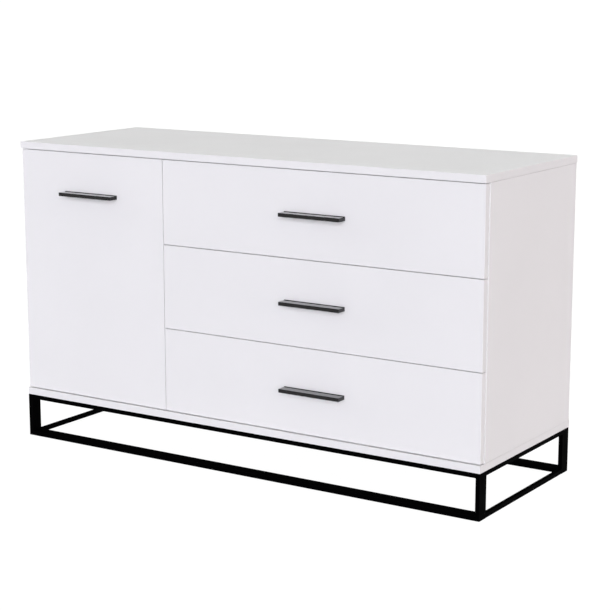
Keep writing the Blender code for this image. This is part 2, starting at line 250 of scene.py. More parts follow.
def laminate(name, base, roughness):
    """Melamine face: a pearl texture, and a faint cloudiness in colour and gloss."""
    s = Shader(name, Roughness=roughness, IOR=1.48)
    cloud = s.noise(3.0, 4.0, 0.55)
    fleck = s.noise(420.0, 3.0, 0.6)
    darker = times(base, 0.985)
    lighter = times(base, 1.008)
    toned = s.mixed(s.ranged(cloud, 0.35, 0.65), darker, lighter)
    s.colour(s.mixed(s.ranged(fleck, 0.60, 0.75, 0.0, 0.05), toned, times(base, 0.93)))
    s.rough(s.ranged(s.noise(14.0, 5.0, 0.6), 0.3, 0.7, roughness - 0.04, roughness + 0.05))
    s.bump(s.noise(650.0, 2.0, 0.5), 0.000020, 0.55)
    s.bump(s.cells(1500.0), 0.000010, 0.35)
    return s.mat


def edge_band(name, base, roughness):
    """Plastic edging: faint clouds, a few small scuffs and a fine uneven surface."""
    s = Shader(name, Roughness=roughness, IOR=1.50)
    cloud = s.noise(6.0, 3.0, 0.5)
    scuff = s.noise(55.0, 4.0, 0.7)
    toned = s.mixed(s.ranged(cloud, 0.3, 0.7), times(base, 0.985), base)
    s.colour(s.mixed(s.ranged(scuff, 0.66, 0.80, 0.0, 0.10), toned, times(base, 0.86)))
    s.rough(s.ranged(s.noise(90.0, 3.0, 0.6), 0.3, 0.7, roughness - 0.04, roughness + 0.08))
    s.bump(s.noise(900.0, 2.0, 0.5), 0.000012, 0.4)
    return s.mat


def glue_line():
    s = Shader("band_joint", Roughness=0.6)
    s.colour(s.mixed(s.ranged(s.noise(120.0, 3.0), 0.4, 0.6), (0.56, 0.56, 0.56), (0.70, 0.70, 0.71)))
    return s.mat


def chipboard():
    """Raw core, seen in drilled holes."""
    s = Shader("raw_chipboard", Roughness=0.85)
    chips = s.cells(700.0)
    toned = s.mixed(s.ranged(chips, 0.1, 0.7), (0.50, 0.36, 0.22), (0.30, 0.20, 0.12))
    s.colour(s.mixed(s.ranged(s.noise(1400.0, 3.0), 0.4, 0.7), toned, (0.62, 0.48, 0.32)))
    s.bump(chips, 0.0002, 0.8)
    return s.mat


def drawer_foil():
    """Foil-wrapped drawer board: matt, with a faint grain along the board."""
    s = Shader("drawer_foil", Roughness=0.5, IOR=1.46)
    grain = s.noise(30.0, 4.0, 0.6, s.stretched(1.0, 1.0, 26.0))
    base = (0.80, 0.80, 0.805)
    s.colour(s.mixed(s.ranged(grain, 0.35, 0.70), base, times(base, 0.955)))
    s.rough(s.ranged(grain, 0.3, 0.7, 0.46, 0.58))
    s.bump(grain, 0.00004, 0.5)
    return s.mat


def hardboard(name, base):
    """Thin lacquered fibreboard with a fibrous mottle."""
    s = Shader(name, Roughness=0.6, IOR=1.45)
    fibre = s.noise(260.0, 5.0, 0.7, distortion=1.5)
    cloud = s.noise(5.0, 4.0, 0.6)
    toned = s.mixed(s.ranged(cloud, 0.3, 0.7), times(base, 0.96), base)
    s.colour(s.mixed(s.ranged(fibre, 0.52, 0.75, 0.0, 0.35), toned, times(base, 0.88)))
    s.rough(s.ranged(fibre, 0.3, 0.7, 0.54, 0.68))
    s.bump(fibre, 0.00005, 0.6)
    return s.mat


def powder_coat(name, base, roughness):
    """Black powder coat: fine orange peel and a few lighter dust specks."""
    s = Shader(name, Roughness=roughness, IOR=1.5, Specular_IOR_Level=0.006)
    peel = s.noise(1100.0, 2.0, 0.5)
    cloud = s.noise(9.0, 4.0, 0.6)
    speck = s.noise(2300.0, 2.0, 0.6)
    toned = s.mixed(s.ranged(cloud, 0.3, 0.7), base, times(base, 1.5))
    s.colour(s.mixed(s.ranged(speck, 0.72, 0.80, 0.0, 0.5), toned, tuple(c * 4.0 + 0.004 for c in base)))
    s.rough(s.ranged(s.noise(30.0, 4.0), 0.3, 0.7, roughness - 0.06, roughness + 0.08))
    s.bump(peel, 0.00004, 0.6)
    return s.mat


def graphite(name, base, roughness):
    """Satin dark lacquer over metal brushed along the pull."""
    s = Shader(name, Roughness=roughness, IOR=1.25, Coat_Weight=1.0, Coat_Roughness=0.06, Coat_IOR=1.25)
    brush = s.noise(420.0, 4.0, 0.65, s.stretched(0.035, 1.0, 1.0))
    cloud = s.noise(40.0, 3.0, 0.5)
    toned = s.mixed(s.ranged(cloud, 0.3, 0.7), base, times(base, 1.25))
    s.colour(s.mixed(s.ranged(brush, 0.35, 0.75, 0.0, 0.6), toned, times(base, 1.7)))
    s.rough(s.ranged(brush, 0.3, 0.7, roughness - 0.03, roughness + 0.06))
    s.bump(brush, 0.000005, 0.3)
    return s.mat


def zinc(name, base, roughness):
    """Bright zinc plate: soft spangle, rolled lines and a slight cool-warm drift."""
    s = Shader(name, Roughness=roughness, Metallic=1.0)
    drift = s.noise(35.0, 4.0, 0.6)
    spangle = s.cells(260.0)
    warm = (base[0] * 1.02, base[1] * 0.99, base[2] * 0.94)
    toned = s.mixed(s.ranged(drift, 0.35, 0.65), base, warm)
    s.colour(s.mixed(s.ranged(spangle, 0.2, 0.8, 0.0, 0.3), toned, times(base, 0.80)))
    s.rough(s.ranged(drift, 0.3, 0.7, roughness - 0.05, roughness + 0.12))
    s.bump(s.noise(700.0, 3.0, 0.6, s.stretched(1.0, 0.08, 1.0)), 0.00002, 0.4)
    return s.mat


def white_plastic():
    s = Shader("white_cap_plastic", Roughness=0.42, IOR=1.46)
    s.colour(s.mixed(s.ranged(s.noise(80.0, 4.0), 0.35, 0.7), (0.79, 0.79, 0.79), (0.83, 0.83, 0.835)))
    s.bump(s.cells(1100.0), 0.00003, 0.5)
    return s.mat


BOARD_WHITE = (0.855, 0.855, 0.855)
M_FACE = laminate("melamine_face", BOARD_WHITE, 0.40)
M_BAND = edge_band("edge_band", BOARD_WHITE, 0.42)
# Carcass edging painted greyer than the fronts' edging: painted shade for the recessed strip beside the
# fronts.
M_SHADED_TAPE = edge_band("carcass_tape_painted_shade", (0.742, 0.742, 0.745), 0.46)
M_GLUE = glue_line()
M_CORE = chipboard()
M_FOIL = drawer_foil()
M_HARDBOARD = hardboard("lacquered_hardboard", (0.78, 0.78, 0.775))
M_STEEL = powder_coat("black_powder_coat", (0.0005, 0.0005, 0.0006), 0.60)
# Lighter coat for the steel's rounded edges and cut ends: a painted edge sheen.
M_STEEL_EDGE_SHEEN = powder_coat("powder_coat_painted_edge_sheen", (0.0014, 0.0014, 0.0015), 0.52)
M_GRAPHITE = graphite("graphite_lacquer", (0.0025, 0.0025, 0.0028), 0.07)
M_ZINC = zinc("zinc_plate", (0.66, 0.67, 0.69), 0.28)
M_SCREW = zinc("screw_zinc", (0.60, 0.60, 0.60), 0.34)
M_CAP = white_plastic()


# ---------------------------------------------------------------- mesh tools


def new_object(name, bm):
    mesh = bpy.data.meshes.new(name)
    bmesh.ops.recalc_face_normals(bm, faces=bm.faces)
    bm.to_mesh(mesh)
    bm.free()
    mesh.shade_smooth()
    obj = bpy.data.objects.new(name, mesh)
    bpy.context.scene.collection.objects.link(obj)
    return obj


def box(name, low, high):
    low = Vector(low)
    high = Vector(high)
    bm = bmesh.new()
    bmesh.ops.create_cube(bm, size=1.0)
    bmesh.ops.scale(bm, vec=high - low, verts=bm.verts)
    bmesh.ops.translate(bm, vec=(low + high) / 2, verts=bm.verts)
    return new_object(name, bm)


def prism(name, outline, axis, low, high):
    """Extrude a closed outline, given in the other two axes in X, Y, Z order, along an axis."""
    bm = bmesh.new()
    ring = []
    for first, second in outline:
        point = [first, second]
        point.insert(AXES.index(axis), low)
        ring.append(bm.verts.new(point))
    face = bm.faces.new(ring)
    step = [0.0, 0.0, 0.0]
    step[AXES.index(axis)] = high - low
    out = bmesh.ops.extrude_face_region(bm, geom=[face])
    moved = [item for item in out["geom"] if isinstance(item, bmesh.types.BMVert)]
    bmesh.ops.translate(bm, vec=step, verts=moved)
    return new_object(name, bm)


def turned(name, profile, place, direction, sides):
    """Spin a profile of (radius, distance along the axis) points; ends on the axis close it."""
    bm = bmesh.new()
    line = [bm.verts.new((radius, 0.0, along)) for radius, along in profile]
    edges = [bm.edges.new(pair) for pair in zip(line, line[1:])]
    bmesh.ops.spin(bm, geom=line + edges, axis=(0, 0, 1), cent=(0, 0, 0), steps=sides, angle=math.tau)
    bmesh.ops.remove_doubles(bm, verts=bm.verts, dist=1e-7)
    turn = Vector(direction).to_track_quat("Z", "Y").to_matrix().to_4x4()
    bmesh.ops.transform(bm, matrix=Matrix.Translation(Vector(place)) @ turn, verts=bm.verts)
    return new_object(name, bm)


def rod(name, radius, start, end, sides):
    start = Vector(start)
    end = Vector(end)
    length = (end - start).length
    return turned(name, [(0, 0), (radius, 0), (radius, length), (0, length)], start, end - start, sides)


def bevelled(obj, width, segments, angle=40):
    mod = obj.modifiers.new("soft_edges", "BEVEL")
    mod.width = width
    mod.segments = segments
    mod.limit_method = "ANGLE"
    mod.angle_limit = math.radians(angle)
    mod.harden_normals = True
    return obj


def joined(name, objs):
    """One object from several meshes, keeping their materials."""
    bm = bmesh.new()
    materials = []
    for obj in objs:
        start = len(bm.faces)
        bm.from_mesh(obj.data)
        bm.faces.ensure_lookup_table()
        own = list(obj.data.materials)
        for mat in own:
            if mat not in materials:
                materials.append(mat)
        for face in bm.faces[start:]:
            face.material_index = materials.index(own[face.material_index])
        bpy.data.objects.remove(obj, do_unlink=True)
    mesh = bpy.data.meshes.new(name)
    bm.to_mesh(mesh)
    bm.free()
    for mat in materials:
        mesh.materials.append(mat)
    obj = bpy.data.objects.new(name, mesh)
    bpy.context.scene.collection.objects.link(obj)
    return obj


def combine(obj, tool, operation):
    mod = obj.modifiers.new("shape", "BOOLEAN")
    mod.operation = operation
    mod.object = tool
    mod.solver = "EXACT"
    mod.material_mode = "TRANSFER"
    applied(obj)
    bpy.data.objects.remove(tool, do_unlink=True)


def applied(obj):
    """The object with its modifiers turned into mesh."""
    if obj.modifiers:
        graph = bpy.context.evaluated_depsgraph_get()
        mesh = bpy.data.meshes.new_from_object(obj.evaluated_get(graph))
        mesh.name = obj.name
        obj.modifiers.clear()
        obj.data = mesh
    return obj


def paint(obj, *materials):
    """Gives a piece its materials, in place of the empty slot that a boolean leaves.

    Clearing resets which material each face has, so a list with nothing in it is left alone.
    """
    if obj.data.materials:
        obj.data.materials.clear()
    for mat in materials:
        obj.data.materials.append(mat)
    return obj


def smooth(obj, angle=30):
    obj.data.shade_smooth()
    obj.data.set_sharp_from_angle(angle=math.radians(angle))
    return obj


def evened(obj):
    """Flat faces shade flat, and the rounded edges blend into them."""
    smooth(obj, 40)
    mod = obj.modifiers.new("even_normals", "WEIGHTED_NORMAL")
    mod.mode = "FACE_AREA"
    mod.weight = 100
    mod.keep_sharp = True
    return applied(obj)


def settle(obj, body, slot, *nodes):
    """Puts a finished piece on its body, in place of the CAD nodes it stands for."""
    applied(obj)
    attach(obj, body)
    if nodes:
        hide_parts(*nodes)


def middle(node):
    low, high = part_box(node)
    return (low + high) / 2


# ---------------------------------------------------------------- boards


def thin_axis(low, high):
    size = high - low
    return min(range(3), key=lambda i: size[i])


def weighted_bevel(obj, width, weight_of):
    """Bevels each edge by its own share of the width; weight_of takes an edge's middle and direction."""
    mesh = obj.data
    weights = mesh.attributes.new("bevel_weight_edge", "FLOAT", "EDGE")
    for edge in mesh.edges:
        start, end = (mesh.vertices[v].co for v in edge.vertices)
        weights.data[edge.index].value = weight_of((start + end) / 2, (end - start).normalized())
    mod = obj.modifiers.new("soft_edges", "BEVEL")
    mod.width = width
    mod.segments = 4
    mod.limit_method = "WEIGHT"
    applied(obj)


def board(node, name, cutters=(), banded=ALL_EDGES, band=M_BAND):
    """A laminated board: two faces, edging, the joint line between them, and cut holes.

    The edges named in banded are rounded over; the others stay crisp.
    """
    low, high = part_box(node)
    obj = box(name, low, high)
    axis = thin_axis(low, high)
    centre = (low + high) / 2

    def weight(spot, _along):
        for i in range(3):
            if i == axis or abs(spot[i] - centre[i]) < CENTRED:
                continue
            side = ("-" if spot[i] < centre[i] else "+") + AXES[i]
            if side in banded:
                return 1.0
        return CUT_RADIUS / BAND_RADIUS

    weighted_bevel(obj, BAND_RADIUS, weight)
    bm = bmesh.new()
    bm.from_mesh(obj.data)
    bm.faces.ensure_lookup_table()
    limit = 0.25 * max(face.calc_area() for face in bm.faces)
    flat = [f for f in bm.faces if abs(f.normal[axis]) > AXIAL and f.calc_area() > limit]
    for face in bm.faces:
        face.material_index = 1
    rims = bmesh.ops.inset_individual(bm, faces=flat, thickness=GLUE_LINE, use_even_offset=True)
    for face in rims["faces"]:
        face.material_index = 2
    for face in flat:
        face.material_index = 0
    bm.to_mesh(obj.data)
    bm.free()
    paint(obj, M_FACE, band, M_GLUE)
    for cutter in cutters:
        paint(cutter, M_CORE)
    if cutters:
        combine(obj, joined("cutter", cutters), "DIFFERENCE")
    settle(evened(obj), BODY_OF[node], "white_board", node)


def pin_hole_cutters(face_x, way):
    """Rows of blind holes in an upright board; way points into the board."""
    cutters = []
    for place in ("front", "rear"):
        centre = middle(f"shelf_pin_left_{place}")
        for row in range(-2, 3):
            z = centre.z + row * PIN_PITCH
            start = (face_x - way * OVERCUT, centre.y, z)
            end = (face_x + way * PIN_HOLE_DEPTH, centre.y, z)
            cutters.append(rod("hole", PIN_HOLE_RADIUS, start, end, 24))
    return cutters


def cabinet_boards():
    """The panels of the carcass, with pin holes on both sides of the cupboard, and the back sheet."""
    board("top_panel", "top_board")
    board("bottom_panel", "bottom_board")
    board("side_panel_right", "right_side_board", banded=(), band=M_SHADED_TAPE)
    board("shelf", "shelf_board", band=M_SHADED_TAPE)
    left_holes = pin_hole_cutters(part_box("side_panel_left")[1].x, -1)
    board("side_panel_left", "left_side_board", left_holes, (), M_SHADED_TAPE)
    divider_holes = pin_hole_cutters(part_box("divider_panel")[0].x, 1)
    board("divider_panel", "divider_board", divider_holes, ("-Y",), M_SHADED_TAPE)
    low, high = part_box("back_panel")
    back = bevelled(box("back_sheet", low, high), SHEET_EDGE, 2)
    settle(paint(back, M_HARDBOARD), "carcass", "white_hardboard", "back_panel")


def door_board():
    """The door with a round pocket for each hinge cup."""
    back_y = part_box("door_panel")[1].y
    cutters = []
    for place in ("lower", "upper"):
        cup_low, cup_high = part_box(f"hinge_cup_{place}")
        x = cup_high.x - CUP_RADIUS
        z = (cup_low.z + cup_high.z) / 2
        start = (x, cup_low.y - POCKET_FIT, z)
        cutters.append(rod("pocket", POCKET_RADIUS, start, (x, back_y + OVERCUT, z), 64))
    board("door_panel", "door_board", cutters)


# ---------------------------------------------------------------- fixings


def cross_head(name, radius, rise):
    """A low domed head with a cross recess, standing on the origin and facing +Z."""
    profile = [(0, 0), (radius * 0.97, 0), (radius, rise * 0.2), (radius * 0.88, rise * 0.7)]
    profile += [(radius * 0.6, rise * 0.94), (0, rise)]
    head = turned(name, profile, (0, 0, 0), (0, 0, 1), 28)
    wide = radius * 0.14
    long = radius * 0.58
    floor = rise * 0.3
    cross = box("cross", (-long, -wide, floor), (long, wide, rise * 2))
    combine(cross, box("arm", (-wide, -long, floor), (wide, long, rise * 2)), "UNION")
    combine(head, cross, "DIFFERENCE")
    return paint(smooth(head), M_SCREW)


def nail_head(name):
    edge = NAIL_RADIUS
    profile = [(0, 0), (edge - 0.0001, 0), (edge, 0.0002), (edge - 0.0006, 0.0006), (0, 0.0007)]
    return paint(smooth(turned(name, profile, (0, 0, 0), (0, 0, 1), 16)), M_SCREW)


def cover_cap(name):
    """A round plastic cap that hides a cam fastener."""
    edge = CAP_RADIUS
    profile = [(0, 0), (edge, 0), (edge, 0.0005), (edge - 0.0005, 0.0010)]
    profile += [(edge - 0.0017, 0.0012), (0, 0.0012)]
    return paint(smooth(turned(name, profile, (0, 0, 0), (0, 0, 1), 36)), M_CAP)


def stamped(name, source, spots, body, slot):
    """Copies of one fixing, each at a place and facing a direction, as one piece on a body."""
    bm = bmesh.new()
    for place, direction in spots:
        turn = Vector(direction).to_track_quat("Z", "Y").to_matrix().to_4x4()
        mesh = source.data.copy()
        mesh.transform(Matrix.Translation(Vector(place)) @ turn)
        bm.from_mesh(mesh)
        bpy.data.meshes.remove(mesh)
    mesh = bpy.data.meshes.new(name)
    bm.to_mesh(mesh)
    bm.free()
    mesh.materials.append(source.data.materials[0])
    obj = bpy.data.objects.new(name, mesh)
    bpy.context.scene.collection.objects.link(obj)
    settle(obj, body, slot)


def cabinet_fixings(kit):
    """Cam covers on the uprights' inner faces and nails along the back panel."""
    left_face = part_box("side_panel_left")[1].x
    right_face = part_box("side_panel_right")[0].x
    divider_low, divider_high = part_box("divider_panel")
    faces = ((left_face, 1), (divider_low.x, -1), (divider_high.x, 1), (right_face, -1))
    spots = []
    for x, way in faces:
        for y in (divider_low.y + CAP_FROM_FRONT, divider_high.y - CAP_FROM_REAR):
            for z in (divider_low.z + CAP_FROM_END, divider_high.z - CAP_FROM_END):
                spots.append(((x, y, z), (way, 0, 0)))
    stamped("cam_covers", kit["cap"], spots, "carcass", "white_board")

    back_low, back_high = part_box("back_panel")
    rows = (middle("side_panel_left").x, middle("divider_panel").x, middle("side_panel_right").x)
    step = (back_high.z - back_low.z - 2 * NAIL_FROM_END) / (NAILS - 1)
    heights = [back_low.z + NAIL_FROM_END + i * step for i in range(NAILS)]
    spots = [((x, back_high.y - NAIL_SUNK, z), (0, 1, 0)) for x in rows for z in heights]
    stamped("back_panel_nails", kit["nail"], spots, "carcass", "zinc_hardware")


def pull_screws(kit, front_node, pull_node, body):
    """The two screw heads on the inner face that hold a pull."""
    centre = middle(pull_node)
    inner_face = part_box(front_node)[1].y
    half = PULL_SCREW_SPACING / 2
    spots = [((centre.x + side * half, inner_face, centre.z), (0, 1, 0)) for side in (-1, 1)]
    stamped(f"{pull_node}_screws", kit["screw"], spots, body, "zinc_hardware")


# ---------------------------------------------------------------- base frame


def mitred_bar(length, deep):
    """A flat bar along X, standing on its outer face, with both ends cut at 45 degrees."""
    half = length / 2
    inner = half - BAR
    bar = prism("bar", [(-half, 0), (half, 0), (inner, BAR), (-inner, BAR)], "Y", 0, deep)
    return steel(bar, 0)


def steel(obj, along_axis):
    """Rounds a bar's long edges, leaves its cut ends crisp, and gives both a lighter coat, a painted edge
    sheen.
    """
    share = CUT_RADIUS / BAR_RADIUS
    weighted_bevel(obj, BAR_RADIUS, lambda _spot, along: 1.0 if abs(along[along_axis]) > AXIAL else share)
    # Faces that are not flat sides take the lighter coat, a painted sheen along the edges.
    for polygon in obj.data.polygons:
        polygon.material_index = 0 if max(abs(n) for n in polygon.normal) > AXIAL else 1
    return evened(paint(obj, M_STEEL, M_STEEL_EDGE_SHEEN))


def weld_bead(start, end):
    """A rippled bead of weld metal between two points."""
    start = Vector(start)
    run = Vector(end) - start
    ripples = max(4, round(run.length / WELD_RIPPLE))
    rings = ripples * 4
    sides = 10
    turn = run.to_track_quat("Z", "Y")
    bm = bmesh.new()
    before = None
    for i in range(rings + 1):
        along = i / rings
        taper = (1.0 - (2.0 * along - 1.0) ** 8) ** 0.5
        radius = WELD_RADIUS * taper * (0.88 + 0.12 * math.cos(math.tau * ripples * along)) + 0.00005
        ring = []
        for j in range(sides):
            angle = math.tau * j / sides
            offset = Vector((math.cos(angle) * radius, math.sin(angle) * radius, 0))
            ring.append(bm.verts.new(start + run * along + turn @ offset))
        if before:
            for j in range(sides):
                bm.faces.new((before[j], before[(j + 1) % sides], ring[(j + 1) % sides], ring[j]))
        else:
            bm.faces.new(ring)
        before = ring
    bm.faces.new(before)
    return paint(new_object("bead", bm), M_STEEL)


def frame_loop(node):
    """Four flat bars mitred and welded into an upright loop; returns its weld beads."""
    low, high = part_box(node)
    length = high.x - low.x
    tall = high.z - low.z
    deep = high.y - low.y
    bars = []
    for place, angle, run in (
        ((low.x + length / 2, low.y, low.z), 0, length),
        ((low.x + length / 2, low.y, high.z), 180, length),
        ((low.x, low.y, low.z + tall / 2), 90, tall),
        ((high.x, low.y, low.z + tall / 2), -90, tall),
    ):
        bar = mitred_bar(run, deep)
        turn = Matrix.Rotation(math.radians(angle), 4, "Y")
        bar.data.transform(Matrix.Translation(Vector(place)) @ turn)
        bars.append(bar)
    settle(joined(node + "_bars", bars), "carcass", "black_steel", node)
    return [
        weld_bead((x, low.y + WELD_INSET, z), (x, high.y - WELD_INSET, z))
        for x in (low.x + BAR, high.x - BAR)
        for z in (low.z + BAR, high.z - BAR)
    ]


def base_frame(kit):
    """Two loops, the bars between them, the weld beads, and the bolts up into the bottom panel."""
    beads = []
    for node in ("frame_loop_front", "frame_loop_rear"):
        beads += frame_loop(node)
    for node in [n for n in BODY_OF if n.startswith("frame_bar")]:
        low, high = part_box(node)
        settle(steel(box(node + "_piece", low, high), 1), "carcass", "black_steel", node)
        inner = low.x if low.x > 0 else high.x
        opening = low.z if node.endswith("upper") else high.z
        for y in (low.y, high.y):
            beads.append(weld_bead((inner, y, low.z + WELD_INSET), (inner, y, high.z - WELD_INSET)))
            beads.append(weld_bead((low.x + WELD_INSET, y, opening), (high.x - WELD_INSET, y, opening)))
    settle(joined("base_welds", beads), "carcass", "black_steel")
    spots = []
    for node in ("frame_loop_front", "frame_loop_rear"):
        low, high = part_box(node)
        for share in BOLT_SHARES:
            spots.append(((share * high.x, (low.y + high.y) / 2, high.z - BAR), (0, 0, -1)))
    stamped("base_screws", kit["bolt"], spots, "carcass", "zinc_hardware")


# ---------------------------------------------------------------- pulls


def pull(node):
    """A hooded pull: back flange with an upstand, flat top, front lip, closed ends."""
    low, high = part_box(node)
    skin = PULL_SKIN
    top = high.z - PULL_UPSTAND
    outline = [
        (high.y, low.z),
        (high.y, high.z),
        (high.y - skin, high.z),
        (high.y - skin, top),
        (low.y, top),
        (low.y, low.z),
    ]
    obj = prism(node + "_piece", outline, "X", low.x, high.x)
    start = (low.x + skin, low.y + skin, low.z - THROUGH)
    hollow = box("hollow", start, (high.x - skin, high.y - skin, top - skin))
    combine(obj, hollow, "DIFFERENCE")
    bevelled(obj, PULL_RADIUS, 3)
    settle(paint(obj, M_GRAPHITE), BODY_OF[node], "graphite_handle", node)


# ---------------------------------------------------------------- door hinges


def arc(centre, radius, start, end, steps):
    """Points of an arc, angles in degrees."""
    angles = [math.radians(start + (end - start) * i / steps) for i in range(steps + 1)]
    return [(centre[0] + radius * math.cos(a), centre[1] + radius * math.sin(a)) for a in angles]


def rounded_plate(low, high, radius, steps=6):
    """The outline of a rectangle with round corners, from two corners given as pairs."""
    points = []
    for cx, cy, start in (
        (high[0] - radius, high[1] - radius, 0),
        (low[0] + radius, high[1] - radius, 90),
        (low[0] + radius, low[1] + radius, 180),
        (high[0] - radius, low[1] + radius, 270),
    ):
        points += arc((cx, cy), radius, start, start + 90, steps)
    return points


def bowl(radius, depth):
    """The profile of a round cup whose bottom edge is soft."""
    soft = CUP_SOFT
    return [(0, 0)] + arc((radius - soft, soft), soft, -90, 0, 6) + [(radius, depth), (0, depth)]


def hinge_cup(place):
    """The pressed cup in the door: bowl, eared flange and the link's pin; returns its screws."""
    node = f"hinge_cup_{place}"
    low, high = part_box(node)
    x = high.x - CUP_RADIUS
    z = (low.z + high.z) / 2
    panel_low, panel_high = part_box("side_panel_left")
    depth = high.y - low.y
    cup = turned(node + "_piece", bowl(CUP_RADIUS, depth), (x, low.y, z), (0, 1, 0), 64)
    edge_x = panel_high.x + CUP_EAR_CLEAR
    plate = rounded_plate((edge_x, low.z), (x + CUP_EAR_REACH, high.z), CUP_EAR_CORNER)
    combine(cup, prism("ears", plate, "Y", high.y - HINGE_SHEET, high.y), "UNION")
    reach_x, reach_z = CUP_RELIEF
    start = (x - reach_x, panel_low.y - POCKET_FIT, z - reach_z)
    relief = box("relief", start, (edge_x, high.y + OVERCUT, z + reach_z))
    combine(cup, relief, "DIFFERENCE")
    inside = bowl(CUP_RADIUS - HINGE_SHEET, depth - HINGE_SHEET + OVERCUT)
    combine(cup, turned("hollow", inside, (x, low.y + HINGE_SHEET, z), (0, 1, 0), 64), "DIFFERENCE")
    link_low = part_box(f"hinge_link_{place}")[0]
    pin_x = link_low.x + LINK_EYE_RADIUS
    pin_y = link_low.y + LINK_EYE_RADIUS
    half = math.sqrt((CUP_RADIUS - HINGE_SHEET / 2) ** 2 - (pin_x - x) ** 2)
    pin = rod("pin", LINK_PIN_RADIUS, (pin_x, pin_y, z - half), (pin_x, pin_y, z + half), 24)
    combine(cup, pin, "UNION")
    settle(paint(smooth(cup), M_ZINC), "door", "zinc_hardware", node)
    return [((x + CUP_SCREW[0], high.y, z + side * CUP_SCREW[1]), (0, 1, 0)) for side in (-1, 1)]


def link_line():
    """The goose-necked link's centre line from its eye to its tail."""
    lean = math.radians(LINK_LEAN)
    along = Vector((math.cos(lean), math.sin(lean)))
    across = Vector((-along.y, along.x))
    centre = along * LINK_NECK + across * LINK_BEND
    line = [along * (LINK_EYE_RADIUS * 0.78)]
    line += [Vector(p) for p in arc(centre, LINK_BEND, LINK_LEAN - 90, 0, 14)]
    line.append(Vector((centre.x + LINK_BEND, LINK_TAIL)))
    return line


def strip(line, half):
    """The closed outline of a strip of constant thickness around a centre line."""
    left = []
    right = []
    for i, point in enumerate(line):
        along = (line[min(i + 1, len(line) - 1)] - line[max(i - 1, 0)]).normalized()
        side = Vector((-along.y, along.x)) * half
        left.append(tuple(point + side))
        right.append(tuple(point - side))
    return left + right[::-1]


def hinge_link(place):
    """The goose-necked link with its bored eye."""
    node = f"hinge_link_{place}"
    low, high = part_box(node)
    pivot = Vector((low.x + LINK_EYE_RADIUS, low.y + LINK_EYE_RADIUS, 0))
    link = prism(node + "_piece", strip(link_line(), LINK_SHEET / 2), "Z", low.z, high.z)
    link.data.transform(Matrix.Translation(pivot))
    eye = rod("eye", LINK_EYE_RADIUS, (pivot.x, pivot.y, low.z), (pivot.x, pivot.y, high.z), 32)
    combine(link, eye, "UNION")
    start = (pivot.x, pivot.y, low.z - THROUGH)
    bore = rod("bore", LINK_BORE_RADIUS, start, (pivot.x, pivot.y, high.z + THROUGH), 24)
    combine(link, bore, "DIFFERENCE")
    bevelled(link, LINK_EDGE, 2, 50)
    settle(paint(smooth(applied(link)), M_ZINC), "hinge_links", "zinc_hardware", node)


def hinge_arm(place):
    """The channel-shaped arm with its winged mounting plate; returns its screws."""
    node = f"hinge_arm_{place}"
    low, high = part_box(node)
    z = (low.z + high.z) / 2
    half = ARM_HALF_WIDTH
    corner = ARM_CORNER
    outline = [(low.x, z - half)]
    outline += arc((high.x - corner, z - half + corner), corner, -90, 0, 5)
    outline += arc((high.x - corner, z + half - corner), corner, 0, 90, 5)
    outline.append((low.x, z + half))
    arm = prism(node + "_piece", outline, "Y", low.y, high.y)
    plate_y = (low.y + ARM_PLATE[0], low.y + ARM_PLATE[1])
    wings = rounded_plate((plate_y[0], low.z), (plate_y[1], high.z), ARM_PLATE_CORNER)
    combine(arm, prism("wings", wings, "X", low.x, low.x + ARM_PLATE_SHEET), "UNION")
    inside = half - HINGE_SHEET
    start = (low.x + ARM_PLATE_SHEET, low.y - OVERCUT, z - inside)
    end = (high.x - HINGE_SHEET, high.y - HINGE_SHEET, z + inside)
    combine(arm, bevelled(box("channel", start, end), ARM_CHANNEL_EDGE, 3), "DIFFERENCE")
    bevelled(arm, ARM_EDGE, 2, 50)
    settle(paint(smooth(applied(arm)), M_ZINC), "carcass", "zinc_hardware", node)
    plate_x = low.x + ARM_PLATE_SHEET
    plate_middle = sum(plate_y) / 2
    places = [
        (plate_x, plate_middle, z - ARM_PLATE_SCREW),
        (plate_x, plate_middle, z + ARM_PLATE_SCREW),
        (high.x, low.y + ARM_SCREW_FROM_END, z),
        (high.x, high.y - ARM_SCREW_FROM_END, z),
    ]
    return [(place, (1, 0, 0)) for place in places]


def hinges(kit):
    cup_screws = []
    arm_screws = []
    for place in ("lower", "upper"):
        cup_screws += hinge_cup(place)
        hinge_link(place)
        arm_screws += hinge_arm(place)
    stamped("hinge_cup_screws", kit["screw"], cup_screws, "door", "zinc_hardware")
    stamped("hinge_arm_screws", kit["screw"], arm_screws, "carcass", "zinc_hardware")


def shelf_pins():
    """Turned pins with a chamfered end and a shallow groove where they leave the board."""
    for node in [n for n in BODY_OF if n.startswith("shelf_pin")]:
        low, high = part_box(node)
        radius = (high.z - low.z) / 2
        length = high.x - low.x
        groove = length / 2
        neck = radius - PIN_GROOVE
        profile = [
            (0, 0),
            (radius - PIN_CHAMFER, 0),
            (radius, PIN_CHAMFER),
            (radius, groove - 2 * PIN_GROOVE),
            (neck, groove - PIN_GROOVE),
            (neck, groove + PIN_GROOVE),
            (radius, groove + 2 * PIN_GROOVE),
            (radius, length - PIN_NOSE),
            (radius - PIN_NOSE / 3, length - PIN_NOSE / 3),
            (radius - PIN_NOSE, length),
            (0, length),
        ]
        centre = middle(node)
        pin = turned(node + "_piece", profile, (low.x, centre.y, centre.z), (1, 0, 0), 28)
        settle(paint(smooth(pin), M_ZINC), "carcass", "zinc_hardware", node)


# ---------------------------------------------------------------- drawers


